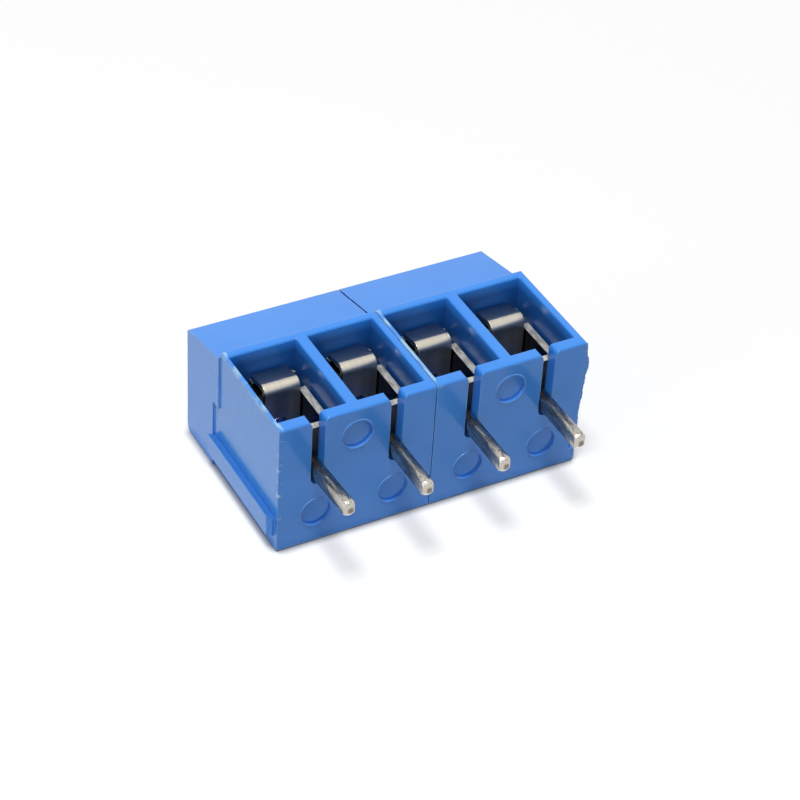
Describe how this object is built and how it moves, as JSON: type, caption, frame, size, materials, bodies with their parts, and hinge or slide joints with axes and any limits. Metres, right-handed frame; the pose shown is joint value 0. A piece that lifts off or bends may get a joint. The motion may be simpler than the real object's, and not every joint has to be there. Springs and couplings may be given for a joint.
{
  "type": "pcb terminal block",
  "caption": "Row of interlocking two-pole screw terminal blocks for a circuit board, with wire windows in front, screws on top and straight solder pins below.",
  "frame": {"origin": "middle of the row of solder pins, in the plane of the board face", "axes": "+X along the row towards the grooved end, -Y towards the wire windows, +Z away from the board"},
  "size_m": [0.0204, 0.009, 0.0165],
  "materials": {
    "blue_plastic": "moulded, semi-gloss",
    "tinned_contact": "tin plated, stamped",
    "tinned_pin": "tin plated, drawn wire",
    "guard_steel": "bright rolled",
    "plated_screw": "zinc plated"
  },
  "bodies": {
    "block": {"housing_left": "blue_plastic", "housing_right": "blue_plastic", "contact_1": "tinned_contact", "solder_pin_1": "tinned_pin", "contact_2": "tinned_contact", "solder_pin_2": "tinned_pin", "contact_3": "tinned_contact", "solder_pin_3": "tinned_pin", "contact_4": "tinned_contact", "solder_pin_4": "tinned_pin"},
    "wire_guard_1": {"wire_guard_1": "guard_steel"},
    "clamp_screw_1": {"clamp_screw_1": "plated_screw"},
    "wire_guard_2": {"wire_guard_2": "guard_steel"},
    "clamp_screw_2": {"clamp_screw_2": "plated_screw"},
    "wire_guard_3": {"wire_guard_3": "guard_steel"},
    "clamp_screw_3": {"clamp_screw_3": "plated_screw"},
    "wire_guard_4": {"wire_guard_4": "guard_steel"},
    "clamp_screw_4": {"clamp_screw_4": "plated_screw"}
  },
  "joints": [
    {"name": "guard_slide_1", "type": "slide", "parent": "block", "child": "wire_guard_1", "axis": [0, 0, -1], "range_m": [0, 0.0033]},
    {"name": "screw_turn_1", "type": "hinge", "parent": "wire_guard_1", "child": "clamp_screw_1", "pos_m": [-0.0075, 0.0008, 0.00514], "axis": [0, 0, -1], "range_deg": [0, 2640.5]},
    {"name": "guard_slide_2", "type": "slide", "parent": "block", "child": "wire_guard_2", "axis": [0, 0, -1], "range_m": [0, 0.0033]},
    {"name": "screw_turn_2", "type": "hinge", "parent": "wire_guard_2", "child": "clamp_screw_2", "pos_m": [-0.0025, 0.0008, 0.00514], "axis": [0, 0, -1], "range_deg": [0, 2640.5]},
    {"name": "guard_slide_3", "type": "slide", "parent": "block", "child": "wire_guard_3", "axis": [0, 0, -1], "range_m": [0, 0.0033]},
    {"name": "screw_turn_3", "type": "hinge", "parent": "wire_guard_3", "child": "clamp_screw_3", "pos_m": [0.0025, 0.0008, 0.00514], "axis": [0, 0, -1], "range_deg": [0, 2640.5]},
    {"name": "guard_slide_4", "type": "slide", "parent": "block", "child": "wire_guard_4", "axis": [0, 0, -1], "range_m": [0, 0.0033]},
    {"name": "screw_turn_4", "type": "hinge", "parent": "wire_guard_4", "child": "clamp_screw_4", "pos_m": [0.0075, 0.0008, 0.00514], "axis": [0, 0, -1], "range_deg": [0, 2640.5]}
  ],
  "couplings": [
    {"joint": "screw_turn_1", "follows": "guard_slide_1", "rad_per_m": 13963},
    {"joint": "screw_turn_2", "follows": "guard_slide_2", "rad_per_m": 13963},
    {"joint": "screw_turn_3", "follows": "guard_slide_3", "rad_per_m": 13963},
    {"joint": "screw_turn_4", "follows": "guard_slide_4", "rad_per_m": 13963}
  ]
}
